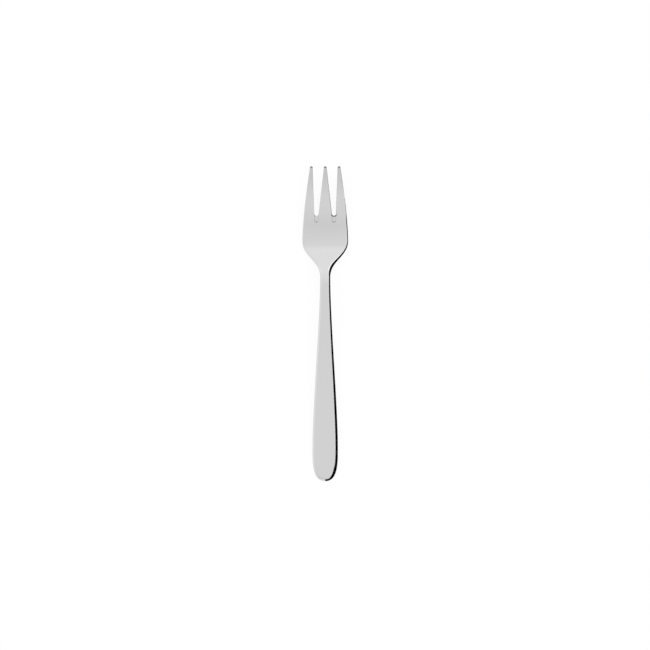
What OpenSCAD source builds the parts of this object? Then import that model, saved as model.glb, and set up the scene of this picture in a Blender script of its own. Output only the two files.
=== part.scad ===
// A three-tined pastry fork, pressed and polished from one blank of stainless steel.
// It lies along Y with its tips at +Y and its bowl facing up, and z = 0 is the table it rests on.
// Stations, called s, run along the fork from the end of the handle at s = 0 to the tips.

/* [Whole fork] */
// Length over all
fork_length = 155; // [130:1:180]

/* [Handle] */
// Width of the handle where it is widest
handle_width = 12.5; // [9:0.1:16]
// Thickness of the handle
handle_thickness = 2; // [1.4:0.1:3]
// Distance from the end of the handle to its widest point
handle_wide_at = 16; // [12:1:30]
// Width of the rounding along the handle's edges, seen from above
handle_edge = 1.7; // [0.5:0.05:2.2]
// Length of the flat under the end of the handle that rests on the table
rest_length = 5; // [3:0.5:9]

/* [Neck] */
// Width of the neck where it is narrowest
neck_width = 5; // [3.6:0.1:7]
// Thickness of the neck
neck_thickness = 2.6; // [1.6:0.1:4]
// Distance from the neck's narrowest point to the tips
neck_to_tips = 54.5; // [50:0.5:60]
// Width of the rounding along the neck's edges, seen from above
neck_edge = 0.75; // [0.4:0.05:1.6]
// Height over the table where the handle's underside would meet the slope into the bowl
neck_height = 5.8; // [3:0.2:9]
// Length of the bend between the handle and the slope into the bowl
neck_bend = 7; // [3:0.5:9]
// Width of the rounding along the edges in the hollow of the shoulder, seen from above
shoulder_edge = 2.6; // [1:0.1:3]
// Distance from the neck's narrowest point to the hollow of the shoulder
shoulder_edge_at = 5; // [3:0.5:8]

/* [Head] */
// Width of the head where it is widest
head_width = 22.6; // [18:0.1:28]
// Thickness of the head
head_thickness = 1.8; // [1.2:0.1:3]
// Distance from the head's widest point to the tips
head_length = 36.6; // [32:0.2:42]
// Width of the rounding along the head's edges, seen from above
head_edge = 0.45; // [0.2:0.05:0.9]
// How far the bowl's sides stand over its middle
bowl_depth = 0.4; // [0:0.1:1.2]
// Distance from the lowest point under the bowl to the tips
belly_to_tips = 40.2; // [36:0.2:44]
// Height that the bowl's front has climbed where the tines start
bowl_front_height = 2; // [0.8:0.2:4]

/* [Tines] */
// Length of the slots between the tines
slot_length = 24.3; // [15:0.1:27]
// Width of a slot at its rounded root
slot_width = 2.1; // [1:0.1:3]
// Distance between the two slots at their roots, centre to centre
slot_spacing = 8.6; // [7:0.1:10]
// Width of a tine at its tip
tip_width = 1.45; // [0.8:0.05:2.4]
// Distance between neighbouring tips, centre to centre
tip_spacing = 6.85; // [5.5:0.05:8]
// Thickness of a tine at its tip
tip_thickness = 1.3; // [0.8:0.1:2]
// Width of the rounding along the tines' edges, seen from above
tine_edge = 0.17; // [0.1:0.01:0.4]
// Width of the rounding over the tips' ends, seen from above
tip_edge = 0.5; // [0.1:0.05:0.5]
// Height of the tines' underside where their ends start to turn up
tine_bend_height = 3.8; // [2:0.2:7]
// Height of the tips' underside
tip_height = 7.2; // [4:0.2:14]

/* [Grooves] */
// How far the groove behind each slot runs back from the slot's root
groove_length = 3.5; // [1.5:0.1:5]
// Width of a groove
groove_width = 1.9; // [1:0.1:3]
// Depth of a groove
groove_depth = 0.1; // [0.05:0.05:0.6]

/* [Hidden] */

// Stations along the fork
neck_at = fork_length - neck_to_tips;
head_at = fork_length - head_length;
belly_at = fork_length - belly_to_tips;
root_at = fork_length - slot_length;
slot_radius = slot_width / 2;
slot_centre_at = root_at + slot_radius;
slot_x = slot_spacing / 2;
tip_radius = tip_width / 2;
tip_centre_at = fork_length - tip_radius;
groove_end_at = root_at - groove_length;
overrun = 5;
// How much of a tip's radius its rounded edge may take
tip_edge_share = 0.75;
widest_tip_edge = tip_edge_share * tip_radius;

// Pulls of the plan's curves: how far each end's tangent reaches, as a share of the curve's length or width
end_round_share = 1.02;
end_side_share = 0.43;
taper_start_share = 0.25;
taper_end_share = 0.26;
shoulder_start_share = 0.45;
shoulder_end_share = 0.44;
// How steadily the head narrows from its widest point to the outer tips
narrowing_power = 1.5;

// Steps along each stretch of the outline
end_steps = 12;
taper_steps = 12;
shoulder_steps = 22;
head_steps = 12;
root_steps = 4;
tine_steps = 12;
tip_steps = 3;
edge_steps = 6;
// Places of the lines of corners across the head, from a slot outwards and from the middle to a slot
outer_line_shares = [0, 0.08, 0.24, 0.48, 0.74, 1];
middle_line_shares = [0, 0.36, 0.69, 0.9, 1];

// The side profile of the underside is a chain of straight runs with a bend at each corner.
// Each corner has its station, its height and the length of its bend.
handle_slope = neck_height / (neck_at - rest_length);
slope_length = belly_at - neck_at;
bowl_length = slot_centre_at - belly_at;
tine_length = fork_length - slot_centre_at;
// Places of the corners beyond the lowest point, as shares of the bowl's and the tines' length
floor_end_share = 0.35;
bowl_front_share = 0.86;
tine_turn_share = 0.58;
// Lengths of the bends, as shares of the length of the slope, of the bowl and of the tines
heel_bend_share = 0.18;
floor_bend_share = 0.58;
front_bend_share = 0.4;
tine_bend_share = 0.46;
corners = [
    [0, -rest_length * handle_slope, 0],
    [neck_at, neck_height, neck_bend],
    [belly_at, 0, heel_bend_share * slope_length],
    [belly_at + floor_end_share * bowl_length, 0, floor_bend_share * bowl_length],
    [belly_at + bowl_front_share * bowl_length, bowl_front_height, front_bend_share * bowl_length],
    [slot_centre_at + tine_turn_share * tine_length, tine_bend_height, tine_bend_share * tine_length],
    [fork_length, tip_height, 0]
];

function bezier(p, t) =
    let (u = 1 - t)
    u * u * u * p[0] + 3 * u * u * t * p[1] + 3 * u * t * t * p[2] + t * t * t * p[3];

// Goes from 0 to 1 with a smooth start and end as s goes from a to b
function rise(a, b, s) =
    let (t = min(1, max(0, (s - a) / (b - a))))
    t * t * (3 - 2 * t);

function mix(a, b, t) = a + (b - a) * t;

// Height of the chain of straight runs
function run_height(s, i = 1) =
    s <= corners[i][0] || i == len(corners) - 1
        ? mix(corners[i - 1][1], corners[i][1], (s - corners[i - 1][0]) / (corners[i][0] - corners[i - 1][0]))
        : run_height(s, i + 1);

function run_slope(i) = (corners[i][1] - corners[i - 1][1]) / (corners[i][0] - corners[i - 1][0]);

// What the bend at one corner adds to the chain
function bend_height(s, i) =
    let (reach = max(0, corners[i][2] / 2 - abs(s - corners[i][0])))
    reach == 0 ? 0 : (run_slope(i + 1) - run_slope(i)) * reach * reach / (2 * corners[i][2]);

function bends(s, i = 1) = i > len(corners) - 2 ? 0 : bend_height(s, i) + bends(s, i + 1);

function thickness(s) =
    s < neck_at ? mix(handle_thickness, neck_thickness, rise(neck_at / 2, neck_at, s))
    : s < root_at ? mix(neck_thickness, head_thickness, rise(neck_at, head_at, s))
    : mix(head_thickness, tip_thickness, rise(root_at, fork_length, s));

// Width of the rounding along the edges: it narrows to the neck, widens into the hollow of the shoulder,
// narrows to the head and again to the tines, and is wider round the tips' ends
function edge_width(s) =
    let (
        taper_at = 2 * handle_wide_at,
        hollow_at = neck_at + shoulder_edge_at,
        handle = mix(handle_edge, neck_edge, min(1, max(0, (s - taper_at) / (neck_at - taper_at)))),
        hollow = mix(handle, shoulder_edge, rise(neck_at, hollow_at, s)),
        head = mix(hollow, head_edge, rise(hollow_at, head_at, s)),
        tine = mix(head, min(tine_edge, widest_tip_edge), rise(groove_end_at, root_at + groove_length, s))
    )
    mix(tine, min(tip_edge, widest_tip_edge), rise(tip_centre_at, fork_length, s));

// The bowl's sides stand over its middle between the shoulder and the slots
function dish(x, s) =
    bowl_depth * pow(2 * x / head_width, 2)
    * rise(neck_at, head_at, s) * (1 - rise(head_at, slot_centre_at, s));

// A round-ended groove runs on from each slot
function groove(x, s) =
    let (
        radius = groove_width / 2,
        off = norm([abs(x) - slot_x, min(0, s - groove_end_at - radius)])
    )
    groove_depth * max(0, 1 - pow(off / radius, 2));

function profile(s) = run_height(s) + bends(s);
function under(x, s) = profile(s) + dish(x, s);
function top(x, s) = profile(s) + thickness(s) + dish(x, s) - groove(x, s);

// Half outline of the fork seen from above, as points [x, s] in x >= 0

function handle_end(t) =
    bezier([[0, 0], [end_round_share * handle_width / 2, 0],
            [handle_width / 2, (1 - end_side_share) * handle_wide_at], [handle_width / 2, handle_wide_at]], t);

function taper(t) =
    let (run = neck_at - handle_wide_at)
    bezier([[handle_width / 2, handle_wide_at], [handle_width / 2, handle_wide_at + taper_start_share * run],
            [neck_width / 2, neck_at - taper_end_share * run], [neck_width / 2, neck_at]], t);

function shoulder(t) =
    let (run = head_at - neck_at)
    bezier([[neck_width / 2, neck_at], [neck_width / 2, neck_at + shoulder_start_share * run],
            [head_width / 2, head_at - shoulder_end_share * run], [head_width / 2, head_at]], t);

function head_side(s) =
    let (t = (s - head_at) / (tip_centre_at - head_at))
    [mix(head_width / 2, tip_spacing + tip_radius, pow(max(0, t), narrowing_power)), s];

// Places along the slots and tines, from the root of a slot to the tip of a tine, at whole steps i
rim_radius = slot_radius + edge_width(root_at);
first_rim_at = slot_centre_at - rim_radius;
last_step = root_steps + tine_steps + tip_steps;

function root_angle(i) = 90 * i / root_steps;
function tip_angle(i) = 90 * (i - root_steps - tine_steps) / tip_steps;

function outer_edge(i) =
    i <= root_steps ? head_side(slot_centre_at - rim_radius * cos(root_angle(i)))
    : i <= root_steps + tine_steps ? head_side(mix(slot_centre_at, tip_centre_at, (i - root_steps) / tine_steps))
    : [tip_spacing, tip_centre_at] + tip_radius * [cos(tip_angle(i)), sin(tip_angle(i))];

// One side of a slot: side = 1 is the outer tine's edge and side = -1 the middle tine's
function slot_edge(i, side) =
    let (
        tip_x = side > 0 ? tip_spacing : 0,
        root = [slot_x + side * slot_radius, slot_centre_at],
        tip = [tip_x - side * tip_radius, tip_centre_at]
    )
    i <= root_steps
        ? [slot_x + side * slot_radius * sin(root_angle(i)), slot_centre_at - slot_radius * cos(root_angle(i))]
    : i <= root_steps + tine_steps ? mix(root, tip, (i - root_steps) / tine_steps)
    : [tip_x - side * tip_radius * cos(tip_angle(i)), tip_centre_at + tip_radius * sin(tip_angle(i))];

outline = concat(
    [for (i = [0 : end_steps - 1]) handle_end(i / end_steps)],
    [for (i = [0 : taper_steps - 1]) taper(i / taper_steps)],
    [for (i = [0 : shoulder_steps - 1]) shoulder(i / shoulder_steps)],
    [for (i = [0 : head_steps - 1]) head_side(mix(head_at, first_rim_at, i / head_steps))],
    [for (i = [0 : last_step]) outer_edge(i)],
    [for (i = [1 : last_step]) slot_edge(last_step - i, 1)],
    [for (i = [1 : last_step]) slot_edge(i, -1)]
);
root_row = end_steps + taper_steps + shoulder_steps + head_steps;
outer_tip_row = root_row + last_step;
slot_root_row = outer_tip_row + last_step;
middle_tip_row = slot_root_row + last_step;

function mirrored(p) = [-p[0], p[1]];

// Direction out of the metal, square to the outline at its point i
function outward(i) =
    let (
        before = i == 0 ? mirrored(outline[1]) : outline[i - 1],
        after = i == middle_tip_row ? mirrored(outline[i - 1]) : outline[i + 1],
        along = (after - before) / norm(after - before)
    )
    [along[1], -along[0]];

// The rim is where the rounding of the edge starts on the faces
rim = [for (i = [0 : middle_tip_row]) outline[i] - edge_width(outline[i][1]) * outward(i)];

// A point of the rounded edge: angle 0 is on the upper rim and 180 on the lower one
function edge_point(i, angle) =
    let (
        p = outline[i] - edge_width(outline[i][1]) * (1 - sin(angle)) * outward(i),
        middle = (top(p[0], p[1]) + under(p[0], p[1])) / 2,
        half = (top(p[0], p[1]) - under(p[0], p[1])) / 2
    )
    [p[0], p[1], middle + half * cos(angle)];

// Where the line of corners that leads to a slot's root crosses row i, and the slot's own rim beyond the root
function slot_line(i, side) =
    i < root_row ? [rim[i][0] * slot_x / rim[root_row][0], rim[i][1]]
    : rim[slot_root_row - side * (i - root_row)];

function face_point(p, upper) = [p[0], p[1], upper ? top(p[0], p[1]) : under(p[0], p[1])];

function edge_grid() =
    [for (i = [0 : middle_tip_row]) [for (j = [0 : edge_steps]) edge_point(i, 180 * j / edge_steps)]];

function outer_grid(upper) =
    [for (i = [0 : outer_tip_row]) [for (share = outer_line_shares)
        face_point(mix(slot_line(i, 1), rim[i], share), upper)]];

function middle_grid(upper) =
    [for (i = [0 : outer_tip_row]) [for (share = middle_line_shares)
        face_point(mix([0, slot_line(i, -1)[1]], slot_line(i, -1), share), upper)]];

// Triangles of a grid of points, seen from outside the metal
function triangles(grid) =
    [for (i = [0 : len(grid) - 2]) for (j = [0 : len(grid[0]) - 2])
        let (a = grid[i][j], b = grid[i + 1][j], c = grid[i + 1][j + 1], d = grid[i][j + 1])
        each [for (t = [[a, b, c], [a, c, d]]) if (t[0] != t[1] && t[1] != t[2] && t[0] != t[2]) t]];

function turned_over(list) = [for (t = list) [t[0], t[2], t[1]]];

function other_half(list) = [for (t = list) [for (p = [t[0], t[2], t[1]]) [-p[0], p[1], p[2]]]];

half_skin = concat(
    triangles(edge_grid()),
    triangles(outer_grid(true)),
    triangles(middle_grid(true)),
    turned_over(triangles(outer_grid(false))),
    turned_over(triangles(middle_grid(false)))
);
skin = concat(half_skin, other_half(half_skin));

// The blank as it is pressed, with the handle's underside running straight to its end
module pressed_blank() {
    polyhedron(
        points = [for (t = skin) each t],
        faces = [for (i = [0 : len(skin) - 1]) [3 * i, 3 * i + 1, 3 * i + 2]]
    );
}

// What is polished off below the table plane, which leaves the resting flat
module below_table() {
    translate([-head_width, -overrun, -overrun])
    cube([2 * head_width, fork_length + 2 * overrun, overrun]);
}

module fork() {
    color("gainsboro")
    translate([0, -fork_length / 2, 0])
    difference() {
        pressed_blank();
        below_table();
    }
}

fork();
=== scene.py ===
"""A three-tined pastry fork of polished stainless steel, lying on its back on a pale table.

Its mesh follows the same sizes and curves as the solid model, in steps fine enough for a mirror finish.
"""

import bmesh
import bpy
import numpy as np
from bpy.props import FloatProperty, FloatVectorProperty, PointerProperty
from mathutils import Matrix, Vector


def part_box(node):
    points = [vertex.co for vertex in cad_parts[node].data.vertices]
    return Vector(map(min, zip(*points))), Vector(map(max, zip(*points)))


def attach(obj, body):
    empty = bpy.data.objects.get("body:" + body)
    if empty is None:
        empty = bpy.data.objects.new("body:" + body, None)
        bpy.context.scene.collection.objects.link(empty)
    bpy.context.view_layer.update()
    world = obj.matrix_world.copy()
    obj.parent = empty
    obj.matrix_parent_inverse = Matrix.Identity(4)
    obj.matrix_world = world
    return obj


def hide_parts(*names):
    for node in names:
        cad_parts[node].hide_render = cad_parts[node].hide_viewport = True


bl_info = {
    "name": "Pastry Fork",
    "version": (1, 0, 0),
    "blender": (4, 5, 0),
    "location": "3D View > Sidebar > Fork",
    "description": "Makes a three-tined pastry fork of polished steel and the studio it is shown in",
    "category": "Add Mesh",
}

MM = 0.001

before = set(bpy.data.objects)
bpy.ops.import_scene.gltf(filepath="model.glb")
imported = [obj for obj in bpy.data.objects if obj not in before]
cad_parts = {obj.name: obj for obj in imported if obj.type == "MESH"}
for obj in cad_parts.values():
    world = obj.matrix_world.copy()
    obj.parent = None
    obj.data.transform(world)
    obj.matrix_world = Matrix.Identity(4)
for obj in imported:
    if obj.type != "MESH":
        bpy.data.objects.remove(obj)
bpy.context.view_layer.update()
FORK_LOW, FORK_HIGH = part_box("fork")


def linear(hex_colour):
    """The linear colour of an sRGB hex value such as "C0C0C0"."""
    shares = [int(hex_colour[i : i + 2], 16) / 255 for i in (0, 2, 4)]
    return [c / 12.92 if c <= 0.04045 else ((c + 0.055) / 1.055) ** 2.4 for c in shares]


def length(name, description, millimetres):
    """A size that a user can change."""
    return FloatProperty(
        name=name, description=description, default=millimetres * MM, min=0, unit="LENGTH", precision=5
    )


def share(name, description, value):
    """A share from 0 to 1 that a user can change."""
    return FloatProperty(name=name, description=description, default=value, min=0, max=1, subtype="FACTOR")


def tint(name, description, hex_colour):
    """A colour that a user can change."""
    return FloatVectorProperty(
        name=name, description=description, default=linear(hex_colour), min=0, max=1, subtype="COLOR"
    )


class ForkSizes(bpy.types.PropertyGroup):
    """The driving sizes of the fork"""

    fork_length: length("Fork length", "Length over all", (FORK_HIGH.y - FORK_LOW.y) / MM)
    handle_width: length("Handle width", "Width of the handle where it is widest", 12.5)
    handle_thickness: length("Handle thickness", "Thickness of the handle", 2)
    handle_wide_at: length("Widest at", "Distance from the handle's end to its widest point", 16)
    handle_edge: length("Handle edge", "Width of the rounding along the handle's edges", 1.7)
    rest_length: length("Rest length", "Length of the flat under the handle's end", 5)
    neck_width: length("Neck width", "Width of the neck where it is narrowest", 5)
    neck_thickness: length("Neck thickness", "Thickness of the neck", 2.6)
    neck_to_tips: length("Neck to tips", "Distance from the neck's narrowest point to the tips", 54.5)
    neck_edge: length("Neck edge", "Width of the rounding along the neck's edges", 0.75)
    neck_height: length("Neck height", "Height of the underside where the slope into the bowl starts", 5.8)
    neck_bend: length("Neck bend", "Length of the bend between the handle and the slope into the bowl", 7)
    shoulder_edge: length("Shoulder edge", "Width of the rounding in the hollow of the shoulder", 2.6)
    shoulder_edge_at: length("Shoulder edge at", "Distance from the neck to the hollow of the shoulder", 5)
    head_width: length("Head width", "Width of the head where it is widest", (FORK_HIGH.x - FORK_LOW.x) / MM)
    head_thickness: length("Head thickness", "Thickness of the head", 1.8)
    head_length: length("Head length", "Distance from the head's widest point to the tips", 36.6)
    head_edge: length("Head edge", "Width of the rounding along the head's edges", 0.45)
    bowl_depth: length("Bowl depth", "How far the bowl's sides stand over its middle", 0.4)
    belly_to_tips: length("Belly to tips", "Distance from the lowest point under the bowl to the tips", 40.2)
    bowl_front_height: length("Bowl front", "Height of the underside at the front of the bowl", 2)
    slot_length: length("Slot length", "Length of the slots between the tines", 24.3)
    slot_width: length("Slot width", "Width of a slot at its rounded root", 2.1)
    slot_spacing: length("Slot spacing", "Distance between the slots at their roots, centre to centre", 8.6)
    tip_width: length("Tip width", "Width of a tine at its tip", 1.45)
    tip_spacing: length("Tip spacing", "Distance between neighbouring tips, centre to centre", 6.85)
    tip_thickness: length("Tip thickness", "Thickness of a tine at its tip", 1.3)
    tine_edge: length("Tine edge", "Width of the rounding along the tines' edges", 0.17)
    tip_edge: length("Tip edge", "Width of the rounding over the tips' ends", 0.5)
    tine_bend_height: length("Tine bend", "Height of the tines' underside where their ends turn up", 3.8)
    tip_height: length("Tip height", "Height of the tips' underside", 7.2)
    groove_length: length("Groove length", "How far the groove behind each slot runs back", 3.5)
    groove_width: length("Groove width", "Width of a groove", 1.9)
    groove_depth: length("Groove depth", "Depth of a groove", 0.1)
    groove_wall: length("Groove wall", "Width of the sloping side of a groove", 0.14)
    groove_end_wall: length("Groove end wall", "Length of the slope at the closed end of a groove", 0.8)


class ForkFinish(bpy.types.PropertyGroup):
    """The look of the steel"""

    steel: tint("Steel", "Colour of the polished steel", "D0D0D0")
    # Painted shade: this dark colour is mixed into the steel on the grooves' walls, round the right slot's
    # root and at the tips' ends
    painted_shade_colour: tint("Dull steel", "Colour of the steel that the polishing wheel hardly reaches", "585858")
    roughness: share("Roughness", "Roughness where the wheel pressed hardest", 0.05)
    soft_roughness: share("Soft roughness", "Roughness where the wheel pressed least", 0.1)
    dull_roughness: share("Dull roughness", "Roughness of the dull steel", 0.4)
    # Shares of painted shade, which also make the steel rougher there
    root_painted_shade: share("Root dullness", "Share of dull steel round the right slot's root", 1)
    groove_end_painted_shade: share("Groove end dullness", "Share of dull steel at the grooves' closed ends", 0.85)
    tip_painted_shade: share("Tip dullness", "Share of dull steel at the tips' ends", 0.75)


class StudioSetup(bpy.types.PropertyGroup):
    """The table, the cards and the camera round the fork"""

    table: tint("Table", "Colour of the table", "F8F8F8")
    table_white: share("Table white", "Share of plain white in the table; the rest takes the shadow", 0.92)
    card: tint("Card", "Colour of the black cards", "060606")
    camera_height: length("Camera height", "Height of the camera over the table", 5000)
    frame_width: length("Frame width", "Width of the table that the picture shows", 320.2)
    frame_x: length("Frame offset X", "How far the frame's middle lies from the fork's middle, across", 0.1)
    frame_y: length("Frame offset Y", "How far the frame's middle lies below the fork's middle", 0.59)
    strip_gap: length("Strip gap", "Gap between the fork's right edge and the low black strip along it", 0.08)
    strip_rise: length("Strip rise", "Height of the low strip over the steel in the shoulder's hollow", 1.4)
    strip_end: length("Strip end", "Distance from the handle's end to the far end of the low strip", 150)
    strip_fall: length("Strip fall", "Length over which the low strip falls to the table at its far end", 18)


# The long black card right of the fork, as (x, y, lower edge, upper edge) of each fold, in millimetres. It is
# highest beside the handle, whose dark line is the widest. From the shoulder back to the handle's end it
# hangs clear of the table, so that the slope into the bowl, seen from behind, mirrors the studio under it
LONG_CARD_FOLDS = (
    (180, 245, 0, 330),
    (180, 150, 0, 330),
    (180, 45, 0, 362),
    (180, 32, 225, 366),
    (180, -40, 225, 420),
    (180, -125, 225, 460),
)

# The black card that hangs beyond the handle's end, as (x, y, lower edge, upper edge) of each fold, in
# millimetres. It goes on from the near end of the long card
HANGING_CARD_FOLDS = (
    (180, -125, 90, 460),
    (165, -165, 90, 520),
    (150, -200, 90, 760),
    (140, -214, 90, 760),
    (125, -230, 90, 460),
    (80, -275, 90, 235),
    (0, -300, 90, 225),
)

# Outline of the black card that lies on the table, in millimetres. It starts just under the fork's right
# edge, and runs under the middle and right tines and out beyond their tips
LYING_CARD = (
    (0, -77.5),
    (3, -76),
    (5, -72),
    (5.5, -66),
    (5.5, -45),
    (2, 20),
    (2.2, 25),
    (3.2, 28),
    (5.8, 31.5),
    (9, 35.3),
    (10.7, 41),
    (10.6, 46),
    (3, 48),
    (3, 60),
    (-1, 80),
    (-1, 100),
    (8, 100),
    (10, 62),
    (180, 75),
    (180, -90),
    (0, -90),
)

# Where the studio's light changes, by the part of the mirrored direction that points to the right (X) or
# along the fork towards the tips (Y). Each change is given by where it starts and ends, and what it adds
# before and after
STUDIO_CHANGES = {
    # To the right it is brightest over the long card, and dull low down
    "X": ((0.2, 0.42, 0, 0.5), (0.45, 0.9, 0, -0.62)),
    # Low down it is dull beyond the tips, and bright beyond the handle's end
    "Y": ((0.75, 1, 0, -0.6), (-0.95, -0.7, 0.45, 0)),
}


def mix(a, b, t):
    return a + (b - a) * t


def rise(a, b, s):
    """Goes from 0 to 1 with a smooth start and end as s goes from a to b."""
    t = np.clip((s - a) / (b - a), 0, 1)
    return t * t * (3 - 2 * t)


def bezier(points, t):
    """Points of a cubic curve at the shares t of its run."""
    p = np.array(points)
    t = np.asarray(t)[:, None]
    u = 1 - t
    return u**3 * p[0] + 3 * u * u * t * p[1] + 3 * u * t * t * p[2] + t**3 * p[3]


def steps(count, end=False):
    """Even shares from 0 towards 1, with the 1 itself only if asked."""
    return np.arange(count + end) / count


class ForkShape:
    """The surface of a fork of given sizes.

    Stations, called s, run along the fork from the handle's end at 0 to the tips, and x runs across.
    """

    # Pulls of the plan's curves, as in the solid model
    END_ROUND_SHARE = 1.02
    END_SIDE_SHARE = 0.43
    TAPER_START_SHARE = 0.25
    TAPER_END_SHARE = 0.26
    SHOULDER_START_SHARE = 0.45
    SHOULDER_END_SHARE = 0.44
    NARROWING_POWER = 1.5

    # Corners and bends of the side profile, as shares of the bowl or tine, and of the slope into the bowl
    HEEL_BEND_SHARE = 0.18
    FLOOR_END_SHARE = 0.35
    FLOOR_BEND_SHARE = 0.58
    BOWL_FRONT_SHARE = 0.86
    FRONT_BEND_SHARE = 0.4
    TINE_TURN_SHARE = 0.58
    TINE_BEND_SHARE = 0.46

    # Widest rounding of a tine, as a share of its tip's radius
    TIP_EDGE_SHARE = 0.75

    # How far the painted shade reaches, in radii of the slot's root and of the tip: where it has faded out,
    # and where it is full
    ROOT_OFF = (1.7, 1.25)
    ROOT_BACK = (0.25, 0.75)
    TIP_OUT = (-0.4, 0.3)

    # Steps along each stretch of the outline, round its edge and across each stretch of a face
    END_STEPS = 60
    TAPER_STEPS = 130
    SHOULDER_STEPS = 80
    HEAD_STEPS = 30
    GROOVE_END_STEPS = 30
    GROOVE_STEPS = 16
    ROOT_STEPS = 12
    TINE_STEPS = 70
    TIP_STEPS = 8
    EDGE_STEPS = 16
    GROOVE_FLOOR_STEPS = 6
    GROOVE_WALL_STEPS = 18
    FACE_STEPS = 10

    def __init__(self, sizes):
        size = self.sizes = sizes
        self.neck_at = size.fork_length - size.neck_to_tips
        self.head_at = size.fork_length - size.head_length
        self.belly_at = size.fork_length - size.belly_to_tips
        self.root_at = size.fork_length - size.slot_length
        self.slot_radius = size.slot_width / 2
        self.slot_centre_at = self.root_at + self.slot_radius
        self.slot_x = size.slot_spacing / 2
        self.tip_radius = size.tip_width / 2
        self.tip_centre_at = size.fork_length - self.tip_radius
        self.groove_end_at = self.root_at - size.groove_length
        widest_edge = self.TIP_EDGE_SHARE * self.tip_radius
        self.tine_edge = min(size.tine_edge, widest_edge)
        self.tip_edge = min(size.tip_edge, widest_edge)
        self.rim_radius = self.slot_radius + self.edge_width(self.root_at)
        self.first_rim_at = self.slot_centre_at - self.rim_radius
        self.corners = self.profile_corners()
        self.make_outline()

    def profile_corners(self):
        """Station, height and length of the bend for each corner of the underside's side profile."""
        size = self.sizes
        handle_slope = size.neck_height / (self.neck_at - size.rest_length)
        bowl = self.slot_centre_at - self.belly_at
        tine = size.fork_length - self.slot_centre_at
        floor_end_at = self.belly_at + self.FLOOR_END_SHARE * bowl
        front_at = self.belly_at + self.BOWL_FRONT_SHARE * bowl
        tine_turn_at = self.slot_centre_at + self.TINE_TURN_SHARE * tine
        return [
            (0, -size.rest_length * handle_slope, 0),
            (self.neck_at, size.neck_height, size.neck_bend),
            (self.belly_at, 0, self.HEEL_BEND_SHARE * (self.belly_at - self.neck_at)),
            (floor_end_at, 0, self.FLOOR_BEND_SHARE * bowl),
            (front_at, size.bowl_front_height, self.FRONT_BEND_SHARE * bowl),
            (tine_turn_at, size.tine_bend_height, self.TINE_BEND_SHARE * tine),
            (size.fork_length, size.tip_height, 0),
        ]

    def profile(self, s):
        """Height of the underside: straight runs with a bend at each corner."""
        at, height, bend = np.array(self.corners).T
        slope = np.diff(height) / np.diff(at)
        total = np.interp(s, at, height)
        for i in range(1, len(at) - 1):
            reach = np.maximum(0, bend[i] / 2 - np.abs(s - at[i]))
            total = total + (slope[i] - slope[i - 1]) * reach**2 / (2 * bend[i])
        return total

    def thickness(self, s):
        """Thickness of the metal. The handle thickens to the neck from its middle on."""
        size = self.sizes
        handle = mix(size.handle_thickness, size.neck_thickness, rise(self.neck_at / 2, self.neck_at, s))
        head = mix(size.neck_thickness, size.head_thickness, rise(self.neck_at, self.head_at, s))
        tine = mix(size.head_thickness, size.tip_thickness, rise(self.root_at, size.fork_length, s))
        return np.where(s < self.neck_at, handle, np.where(s < self.root_at, head, tine))

    def edge_width(self, s):
        """Width of the rounding along the edges, seen from above."""
        size = self.sizes
        hollow_at = self.neck_at + size.shoulder_edge_at
        narrowing_at = 2 * size.handle_wide_at
        width = np.interp(s, [narrowing_at, self.neck_at], [size.handle_edge, size.neck_edge])
        width = mix(width, size.shoulder_edge, rise(self.neck_at, hollow_at, s))
        width = mix(width, size.head_edge, rise(hollow_at, self.head_at, s))
        width = mix(width, self.tine_edge, rise(self.groove_end_at, self.root_at + size.groove_length, s))
        return mix(width, self.tip_edge, rise(self.tip_centre_at, size.fork_length, s))

    def dish(self, x, s):
        """How far the bowl's sides stand over its middle, between the shoulder and the slots."""
        size = self.sizes
        along = rise(self.neck_at, self.head_at, s) * (1 - rise(self.head_at, self.slot_centre_at, s))
        return size.bowl_depth * (2 * x / size.head_width) ** 2 * along

    def groove_place(self, x, s):
        """Distance from a groove's middle line, and the share of it that points to the closed end."""
        size = self.sizes
        back = np.maximum(0, self.groove_end_at + size.groove_width / 2 - s)
        off = np.maximum(np.hypot(np.abs(x) - self.slot_x, back), size.groove_wall)
        return off, (back / off) ** 2

    def groove_share(self, x, s):
        """How deep a point lies in a groove, from 0 on the face to 1 on the groove's floor."""
        size = self.sizes
        off, endward = self.groove_place(x, s)
        wall = mix(size.groove_wall, size.groove_end_wall, endward)
        return 1 - rise(size.groove_width / 2 - wall, size.groove_width / 2, off)

    def painted_shade(self, x, s, finish):
        """Share of painted shade, which darkens the steel and makes it rougher: on the grooves' walls, round
        the right slot's root and at the tips' ends.
        """
        groove = self.groove_share(x, s)
        endward = self.groove_place(x, s)[1]
        # The painted shade on a wall is darkest half way down
        wall = 4 * groove * (1 - groove) * mix(1, finish.groove_end_painted_shade, endward)
        off = np.hypot(x - self.slot_x, s - self.slot_centre_at) / self.slot_radius
        back = (self.slot_centre_at - s) / self.slot_radius
        root = rise(*self.ROOT_OFF, off) * rise(*self.ROOT_BACK, back)
        tip = rise(*self.TIP_OUT, (s - self.tip_centre_at) / self.tip_radius)
        return np.maximum.reduce([wall, finish.root_painted_shade * root, finish.tip_painted_shade * tip])

    def under(self, x, s):
        """Height of the underside."""
        return self.profile(s) + self.dish(x, s)

    def top(self, x, s):
        """Height of the top, with the grooves in it."""
        groove = self.sizes.groove_depth * self.groove_share(x, s)
        return self.profile(s) + self.thickness(s) + self.dish(x, s) - groove

    def head_side(self, s):
        """Points of the head's side, which runs in from the widest point to the tip."""
        size = self.sizes
        t = np.maximum(0, (s - self.head_at) / (self.tip_centre_at - self.head_at))
        x = mix(size.head_width / 2, size.tip_spacing + self.tip_radius, t**self.NARROWING_POWER)
        return np.column_stack([x, s])

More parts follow.
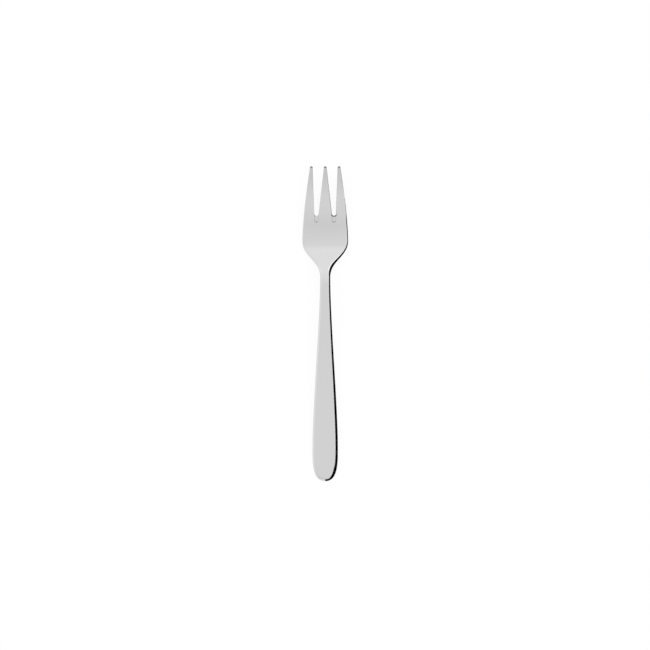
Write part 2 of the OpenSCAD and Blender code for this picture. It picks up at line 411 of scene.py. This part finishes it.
    def head_stations(self):
        """Stations from the widest point to the slots' rims, close together round the grooves' ends."""
        size = self.sizes
        wall_start = self.groove_end_at - size.groove_wall
        round_end = self.groove_end_at + size.groove_width / 2
        return np.concatenate(
            [
                mix(self.head_at, wall_start, steps(self.HEAD_STEPS)),
                mix(wall_start, round_end, steps(self.GROOVE_END_STEPS)),
                mix(round_end, self.first_rim_at, steps(self.GROOVE_STEPS)),
            ]
        )

    def make_outline(self):
        """Half the outline seen from above, from the handle's end round the tines to the middle tip."""
        size = self.sizes
        half_handle = size.handle_width / 2
        half_neck = size.neck_width / 2
        half_head = size.head_width / 2
        taper_run = self.neck_at - size.handle_wide_at
        shoulder_run = self.head_at - self.neck_at
        end = bezier(
            [
                [0, 0],
                [self.END_ROUND_SHARE * half_handle, 0],
                [half_handle, (1 - self.END_SIDE_SHARE) * size.handle_wide_at],
                [half_handle, size.handle_wide_at],
            ],
            steps(self.END_STEPS),
        )
        taper = bezier(
            [
                [half_handle, size.handle_wide_at],
                [half_handle, size.handle_wide_at + self.TAPER_START_SHARE * taper_run],
                [half_neck, self.neck_at - self.TAPER_END_SHARE * taper_run],
                [half_neck, self.neck_at],
            ],
            steps(self.TAPER_STEPS),
        )
        shoulder = bezier(
            [
                [half_neck, self.neck_at],
                [half_neck, self.neck_at + self.SHOULDER_START_SHARE * shoulder_run],
                [half_head, self.head_at - self.SHOULDER_END_SHARE * shoulder_run],
                [half_head, self.head_at],
            ],
            steps(self.SHOULDER_STEPS),
        )
        head = self.head_side(self.head_stations())

        root_angle = np.pi / 2 * steps(self.ROOT_STEPS)
        tine_share = steps(self.TINE_STEPS)
        tip_angle = np.pi / 2 * steps(self.TIP_STEPS, end=True)
        outer_root = self.head_side(self.slot_centre_at - self.rim_radius * np.cos(root_angle))
        outer_side = self.head_side(mix(self.slot_centre_at, self.tip_centre_at, tine_share))
        tip_round = self.tip_radius * np.column_stack([np.cos(tip_angle), np.sin(tip_angle)])
        outer = np.concatenate([outer_root, outer_side, tip_round + [size.tip_spacing, self.tip_centre_at]])
        slot_sides = {}
        for side, tip_x in ((1, size.tip_spacing), (-1, 0)):
            arc = np.column_stack([side * np.sin(root_angle), -np.cos(root_angle)])
            root = np.array([self.slot_x + side * self.slot_radius, self.slot_centre_at])
            tip = np.array([tip_x - side * self.tip_radius, self.tip_centre_at])
            slot_sides[side] = np.concatenate(
                [
                    arc * self.slot_radius + [self.slot_x, self.slot_centre_at],
                    mix(root, tip, tine_share[:, None]),
                    tip_round * [-side, 1] + [tip_x, self.tip_centre_at],
                ]
            )
        slot = [slot_sides[1][-2::-1], slot_sides[-1][1:]]
        self.outline = np.concatenate([end, taper, shoulder, head, outer, *slot])
        self.last_step = len(outer) - 1
        self.root_row = len(end) + len(taper) + len(shoulder) + len(head)
        self.outer_tip_row = self.root_row + self.last_step
        self.slot_root_row = self.outer_tip_row + self.last_step

        before = np.vstack([self.outline[1] * [-1, 1], self.outline[:-1]])
        after = np.vstack([self.outline[1:], self.outline[-2] * [-1, 1]])
        along = (after - before) / np.linalg.norm(after - before, axis=1)[:, None]
        self.outward = np.column_stack([along[:, 1], -along[:, 0]])
        self.edge = self.edge_width(self.outline[:, 1])[:, None]
        self.rim = self.outline - self.edge * self.outward

    def edge_grid(self):
        """Points of the rounded edge, from the upper rim to the lower one."""
        angle = np.pi * steps(self.EDGE_STEPS, end=True)
        plan = self.outline[:, None] - (self.edge * (1 - np.sin(angle)))[..., None] * self.outward[:, None]
        x, s = plan[..., 0], plan[..., 1]
        middle = (self.top(x, s) + self.under(x, s)) / 2
        half = (self.top(x, s) - self.under(x, s)) / 2
        return np.stack([x, s, middle + half * np.cos(angle)], axis=-1)

    def slot_line(self, side):
        """The line that leads to a slot's root in each row, and the slot's own rim beyond the root."""
        plate = self.rim[: self.root_row]
        out = np.where(plate[:, 1] > self.head_at, 1, plate[:, 0] / plate[:, 0].max())
        lead = np.column_stack([out * self.slot_x, plate[:, 1]])
        beyond = self.rim[self.slot_root_row - side * np.arange(self.last_step + 1)]
        return np.concatenate([lead, beyond])

    def face_grid(self, start, end, shares, upper):
        """Points across a face from the line start to the line end, in each row."""
        plan = mix(start[:, None], end[:, None], np.asarray(shares)[None, :, None])
        x, s = plan[..., 0], plan[..., 1]
        return np.stack([x, s, self.top(x, s) if upper else self.under(x, s)], axis=-1)

    def groove_shares(self, width):
        """Shares of a face's width from the slot's line outwards, close together round the groove's wall."""
        size = self.sizes
        wall_start = size.groove_width / 2 - 2 * size.groove_wall
        wall_end = size.groove_width / 2 + size.groove_wall
        stretches = [
            mix(0, wall_start, steps(self.GROOVE_FLOOR_STEPS)),
            mix(wall_start, wall_end, steps(self.GROOVE_WALL_STEPS)),
            mix(wall_end, width, steps(self.FACE_STEPS, end=True)),
        ]
        return np.concatenate(stretches) / width

    def face_grids(self):
        """The four grids of the half fork's faces, with whether each one is an upper face."""
        outer_line = self.slot_line(1)
        middle_line = self.slot_line(-1)
        centre_line = middle_line * [0, 1]
        rim = self.rim[: self.outer_tip_row + 1]
        outer_shares = self.groove_shares(self.rim[self.root_row, 0] - self.slot_x)
        middle_shares = 1 - self.groove_shares(self.slot_x)[::-1]
        plain_shares = steps(self.FACE_STEPS, end=True)
        yield self.face_grid(outer_line, rim, outer_shares, True), True
        yield self.face_grid(centre_line, middle_line, middle_shares, True), True
        yield self.face_grid(outer_line, rim, plain_shares, False), False
        yield self.face_grid(centre_line, middle_line, plain_shares, False), False


def grid_faces(shape, first, flip):
    """Corner numbers of the four-sided faces of a grid of points."""
    rows, columns = shape
    number = first + np.arange(rows * columns).reshape(rows, columns)
    a, b, c, d = number[:-1, :-1], number[1:, :-1], number[1:, 1:], number[:-1, 1:]
    order = (a, d, c, b) if flip else (a, b, c, d)
    return np.stack(order, axis=-1).reshape(-1, 4)


def fork_mesh(sizes, finish):
    """The whole fork as one closed mesh, with its length centred on the origin."""
    shape = ForkShape(sizes)
    points, faces = [], []
    count = 0
    grids = [(shape.edge_grid(), True)] + list(shape.face_grids())
    for grid, upper in grids:
        for side in (1, -1):
            points.append((grid * [side, 1, 1]).reshape(-1, 3))
            faces.append(grid_faces(grid.shape[:2], count, flip=upper == (side < 0)))
            count += len(points[-1])
    points = np.concatenate(points)
    # Painted shade for each point, kept as an attribute for the steel's colour and roughness
    painted_shade = shape.painted_shade(points[:, 0], points[:, 1], finish)
    points[:, 1] -= sizes.fork_length / 2
    # The underside is polished flat where it would dip below the table
    points[:, 2] = np.maximum(points[:, 2], 0)

    mesh = bpy.data.meshes.new("pastry_fork")
    mesh.from_pydata(points.tolist(), [], np.concatenate(faces).tolist())
    mesh.attributes.new("painted_shade", "FLOAT", "POINT").data.foreach_set("value", painted_shade)
    return mesh


def close_mesh(mesh, merge_distance):
    """Joins the points that the grids share, and turns every face outwards."""
    work = bmesh.new()
    work.from_mesh(mesh)
    bmesh.ops.remove_doubles(work, verts=work.verts, dist=merge_distance)
    bmesh.ops.dissolve_degenerate(work, edges=work.edges, dist=merge_distance)
    bmesh.ops.recalc_face_normals(work, faces=work.faces)
    for face in work.faces:
        face.smooth = True
    work.to_mesh(mesh)
    work.free()


def add_node(tree, kind, settings=None, values=None, links=None):
    """Adds a node, sets its settings and the values of its inputs, and links outputs to its inputs."""
    node = tree.nodes.new(kind)
    for name, value in (settings or {}).items():
        setattr(node, name, value)
    for key, value in (values or {}).items():
        node.inputs[key].default_value = value
    for key, output in (links or {}).items():
        tree.links.new(output, node.inputs[key])
    return node


def new_material(name):
    """An empty material with its node tree."""
    material = bpy.data.materials.new(name)
    material.use_nodes = True
    material.node_tree.nodes.clear()
    return material, material.node_tree


def mirror_polished_steel(finish):
    """Stainless steel 18/10, blanked, pressed and mirror-polished on felt wheels.

    To the eye it is a slightly soft mirror of neutral grey, with faint marks along its length. Painted shade
    makes it darker, and it is rougher, on the grooves' walls, round the right slot's root and at the tips.
    """
    material, tree = new_material("mirror_polished_stainless_steel")
    place = add_node(tree, "ShaderNodeTexCoord").outputs["Object"]

    # Real polishing marks are less than 0.05 mm apart. These are drawn wider apart, so that they show
    mark_spacing = 0.4 * MM
    mark_length = 25 * MM
    mark_depth = 0.02 * MM
    marks_place = add_node(
        tree,
        "ShaderNodeMapping",
        values={"Scale": (1 / mark_spacing, 1 / mark_length, 1 / mark_spacing)},
        links={"Vector": place},
    )
    marks = add_node(
        tree,
        "ShaderNodeTexNoise",
        values={"Scale": 1, "Detail": 2, "Roughness": 0.6},
        links={"Vector": marks_place.outputs["Vector"]},
    )
    # The wheel's pressure varies along and across the fork, which makes the mirror a little softer in places
    cloud_width = 6 * MM
    cloud_length = 12 * MM
    clouds_place = add_node(
        tree,
        "ShaderNodeMapping",
        values={"Scale": (1 / cloud_width, 1 / cloud_length, 1 / cloud_width)},
        links={"Vector": place},
    )
    clouds = add_node(
        tree,
        "ShaderNodeTexNoise",
        values={"Scale": 1, "Detail": 3},
        links={"Vector": clouds_place.outputs["Vector"]},
    )
    # The painted shade mask: it mixes the steel's colour towards a dark colour and raises its roughness
    painted_shade = add_node(tree, "ShaderNodeAttribute", {"attribute_name": "painted_shade"})
    polished_roughness = add_node(
        tree,
        "ShaderNodeMapRange",
        values={
            "From Min": 0.3,
            "From Max": 0.7,
            "To Min": finish.roughness,
            "To Max": finish.soft_roughness,
        },
        links={"Value": clouds.outputs["Fac"]},
    )
    roughness = add_node(
        tree,
        "ShaderNodeMix",
        {"data_type": "FLOAT"},
        values={3: finish.dull_roughness},
        links={0: painted_shade.outputs["Fac"], 2: polished_roughness.outputs["Result"]},
    )
    # Painted shade: the colour goes from the polished steel to the dark painted shade colour by the mask
    colour = add_node(
        tree,
        "ShaderNodeMix",
        {"data_type": "RGBA"},
        values={6: (*finish.steel, 1), 7: (*finish.painted_shade_colour, 1)},
        links={0: painted_shade.outputs["Fac"]},
    )
    bump = add_node(
        tree,
        "ShaderNodeBump",
        values={"Strength": 0.02, "Distance": mark_depth},
        links={"Height": marks.outputs["Fac"]},
    )
    steel = add_node(
        tree,
        "ShaderNodeBsdfPrincipled",
        values={"Metallic": 1},
        links={
            "Base Color": colour.outputs[2],
            "Roughness": roughness.outputs[0],
            "Normal": bump.outputs["Normal"],
        },
    )
    add_node(tree, "ShaderNodeOutputMaterial", links={"Surface": steel.outputs["BSDF"]})
    return material


class FORK_OT_add_fork(bpy.types.Operator):
    """Makes the fork's mesh and its steel, in the place of the solid model's fork"""

    bl_idname = "pastry_fork.add_fork"
    bl_label = "Fork"
    bl_options = {"REGISTER", "UNDO"}

    def execute(self, context):
        finish = context.scene.fork_finish
        mesh = fork_mesh(context.scene.fork_sizes, finish)
        close_mesh(mesh, merge_distance=0.0002 * MM)
        mesh.materials.append(mirror_polished_steel(finish))
        fork = bpy.data.objects.new("pastry_fork", mesh)
        context.scene.collection.objects.link(fork)
        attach(fork, "root")
        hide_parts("fork")
        return {"FINISHED"}


def studio_piece(context, name, corners, faces, material):
    """A flat or folded piece of the studio."""
    mesh = bpy.data.meshes.new(name)
    mesh.from_pydata(corners, [], faces)
    mesh.materials.append(material)
    piece = bpy.data.objects.new(name, mesh)
    context.scene.collection.objects.link(piece)
    return piece


def standing_card(context, name, folds, material):
    """An upright card, bent where its folds are given as (x, y, lower edge, upper edge)."""
    corners = [(x, y, z) for x, y, low, high in folds for z in (low, high)]
    faces = [(2 * i, 2 * i + 2, 2 * i + 3, 2 * i + 1) for i in range(len(folds) - 1)]
    return studio_piece(context, name, corners, faces, material)


def in_metres(folds):
    """Folds that are given in millimetres, in metres."""
    return [[size * MM for size in fold] for fold in folds]


def edge_strip_folds(setup, sizes):
    """Folds of the low strip that stands close along the right edge, from the handle's end to the tines.

    It stands higher where the edge beside it is rounded more widely.
    """
    shape = ForkShape(sizes)
    side = shape.outline[: shape.outer_tip_row]
    edge = side[side[:, 1] < setup.strip_end]
    x, s = (edge + setup.strip_gap * shape.outward[: len(edge)]).T
    over = setup.strip_rise * np.sqrt(shape.edge_width(s) / sizes.shoulder_edge)
    top = (shape.top(*edge.T) + over) * rise(setup.strip_end, setup.strip_end - setup.strip_fall, s)
    return np.column_stack([x, s - sizes.fork_length / 2, np.zeros_like(s), top]).tolist()


def table_paint(setup):
    """Matt white table paint, rolled smooth. It looks plain white, with a soft trace of the fork's shadow."""
    material, tree = new_material("matt_white_table_paint")
    path = add_node(tree, "ShaderNodeLightPath")
    seen = add_node(
        tree,
        "ShaderNodeMath",
        {"operation": "MAXIMUM"},
        links={0: path.outputs["Is Camera Ray"], 1: path.outputs["Is Glossy Ray"]},
    )
    seen_or_through = add_node(
        tree,
        "ShaderNodeMath",
        {"operation": "MAXIMUM"},
        links={0: seen.outputs["Value"], 1: path.outputs["Is Transmission Ray"]},
    )
    paint = add_node(tree, "ShaderNodeBsdfDiffuse", values={"Color": (*setup.table, 1)})
    white = add_node(tree, "ShaderNodeEmission", values={"Color": (1, 1, 1, 1), "Strength": 1})
    white_share = add_node(
        tree,
        "ShaderNodeMath",
        {"operation": "MULTIPLY"},
        values={1: setup.table_white},
        links={0: seen_or_through.outputs[0]},
    )
    surface = add_node(
        tree,
        "ShaderNodeMixShader",
        links={0: white_share.outputs[0], 1: paint.outputs[0], 2: white.outputs[0]},
    )
    add_node(tree, "ShaderNodeOutputMaterial", links={"Surface": surface.outputs[0]})
    return material


def black_card(setup):
    """Matt black card. It takes nearly all light, and polished edges that mirror it get their dark line."""
    material, tree = new_material("matt_black_card")
    card = add_node(tree, "ShaderNodeBsdfDiffuse", values={"Color": (*setup.card, 1)})
    add_node(tree, "ShaderNodeOutputMaterial", links={"Surface": card.outputs[0]})
    return material


def studio_world():
    """A white studio whose light changes softly with direction, which gives the steel its run of tones."""
    # The light right over the fork, how fast it grows towards the tips, and how that growth slackens
    ceiling_light = 1.037
    ceiling_growth = 0.21
    growth_change = -0.07
    # What low side light adds on the left and on the right
    side_light = 0.22

    world = bpy.data.worlds.new("white_studio")
    world.use_nodes = True
    tree = world.node_tree
    tree.nodes.clear()
    direction = add_node(tree, "ShaderNodeTexCoord").outputs["Generated"]
    axes = add_node(tree, "ShaderNodeSeparateXYZ", links={"Vector": direction}).outputs
    growth = add_node(
        tree,
        "ShaderNodeMath",
        {"operation": "MULTIPLY_ADD"},
        values={1: growth_change, 2: ceiling_growth},
        links={0: axes["Y"]},
    )
    along = add_node(
        tree,
        "ShaderNodeMath",
        {"operation": "MULTIPLY_ADD"},
        values={2: ceiling_light},
        links={0: axes["Y"], 1: growth.outputs[0]},
    )
    fourth_power = add_node(
        tree, "ShaderNodeMath", {"operation": "POWER"}, values={1: 4}, links={0: axes["X"]}
    )
    across = add_node(
        tree,
        "ShaderNodeMath",
        {"operation": "MULTIPLY_ADD"},
        values={1: side_light, 2: 1},
        links={0: fourth_power.outputs[0]},
    )
    light = {"X": across, "Y": along}
    for axis, changes in STUDIO_CHANGES.items():
        for start, end, before, after in changes:
            change = add_node(
                tree,
                "ShaderNodeMapRange",
                {"interpolation_type": "SMOOTHSTEP"},
                values={"From Min": start, "From Max": end, "To Min": before, "To Max": after},
                links={"Value": axes[axis]},
            )
            light[axis] = add_node(
                tree,
                "ShaderNodeMath",
                {"operation": "ADD"},
                links={0: light[axis].outputs[0], 1: change.outputs["Result"]},
            )
    studio = add_node(
        tree,
        "ShaderNodeMath",
        {"operation": "MULTIPLY"},
        links={0: light["X"].outputs[0], 1: light["Y"].outputs[0]},
    )
    path = add_node(tree, "ShaderNodeLightPath")
    strength = add_node(
        tree,
        "ShaderNodeMix",
        {"data_type": "FLOAT"},
        values={3: 1},
        links={0: path.outputs["Is Camera Ray"], 2: studio.outputs[0]},
    )
    background = add_node(
        tree, "ShaderNodeBackground", values={"Color": (1, 1, 1, 1)}, links={"Strength": strength.outputs[0]}
    )
    add_node(tree, "ShaderNodeOutputWorld", links={"Surface": background.outputs[0]})
    return world


def only_in_reflections(card):
    """The card is there for what the steel mirrors, and isn't seen or lit itself."""
    card.visible_camera = False
    card.visible_diffuse = False
    card.visible_shadow = False
    card.visible_transmission = False


class FORK_OT_add_studio(bpy.types.Operator):
    """Makes the table, the black cards, the white studio and the camera over the fork"""

    bl_idname = "pastry_fork.add_studio"
    bl_label = "Studio"
    bl_options = {"REGISTER", "UNDO"}

    def execute(self, context):
        setup = context.scene.fork_studio
        # The table lies a hair under the fork, and the lying card between the two
        table_z = -0.02 * MM
        half_table = 10
        quarters = ((-1, -1), (1, -1), (1, 1), (-1, 1))
        table_corners = [(x * half_table, y * half_table, table_z) for x, y in quarters]
        studio_piece(context, "table", table_corners, [(0, 1, 2, 3)], table_paint(setup))

        black = black_card(setup)
        strip_folds = edge_strip_folds(setup, context.scene.fork_sizes)
        lying_corners = [(x * MM, y * MM, table_z / 2) for x, y in LYING_CARD]
        cards = [
            standing_card(context, "long_black_card", in_metres(LONG_CARD_FOLDS), black),
            standing_card(context, "hanging_black_card", in_metres(HANGING_CARD_FOLDS), black),
            standing_card(context, "low_black_strip", strip_folds, black),
            studio_piece(context, "lying_black_card", lying_corners, [tuple(range(len(LYING_CARD)))], black),
        ]
        for card in cards:
            only_in_reflections(card)
        context.scene.world = studio_world()

        lens = bpy.data.cameras.new("studio_camera")
        lens.sensor_width = 36
        lens.lens = lens.sensor_width * setup.camera_height / setup.frame_width
        camera = bpy.data.objects.new("studio_camera", lens)
        camera.location = (-setup.frame_x, -setup.frame_y, setup.camera_height)
        context.scene.collection.objects.link(camera)
        context.scene.camera = camera
        context.scene.view_settings.view_transform = "Standard"
        return {"FINISHED"}


class FORK_PT_panel(bpy.types.Panel):
    """Buttons and sizes of the fork"""

    bl_idname = "FORK_PT_panel"
    bl_label = "Pastry Fork"
    bl_space_type = "VIEW_3D"
    bl_region_type = "UI"
    bl_category = "Fork"

    def draw(self, context):
        layout = self.layout
        layout.operator(FORK_OT_add_fork.bl_idname)
        layout.operator(FORK_OT_add_studio.bl_idname)
        for group in (context.scene.fork_sizes, context.scene.fork_finish, context.scene.fork_studio):
            for name in group.bl_rna.properties.keys():
                if name not in ("rna_type", "name"):
                    layout.prop(group, name)


CLASSES = (ForkSizes, ForkFinish, StudioSetup, FORK_OT_add_fork, FORK_OT_add_studio, FORK_PT_panel)


def register():
    for cls in CLASSES:
        bpy.utils.register_class(cls)
    bpy.types.Scene.fork_sizes = PointerProperty(type=ForkSizes)
    bpy.types.Scene.fork_finish = PointerProperty(type=ForkFinish)
    bpy.types.Scene.fork_studio = PointerProperty(type=StudioSetup)


def unregister():
    del bpy.types.Scene.fork_studio
    del bpy.types.Scene.fork_finish
    del bpy.types.Scene.fork_sizes
    for cls in reversed(CLASSES):
        bpy.utils.unregister_class(cls)


def main():
    register()
    bpy.ops.pastry_fork.add_studio()
    bpy.ops.pastry_fork.add_fork()


if __name__ == "__main__":
    main()
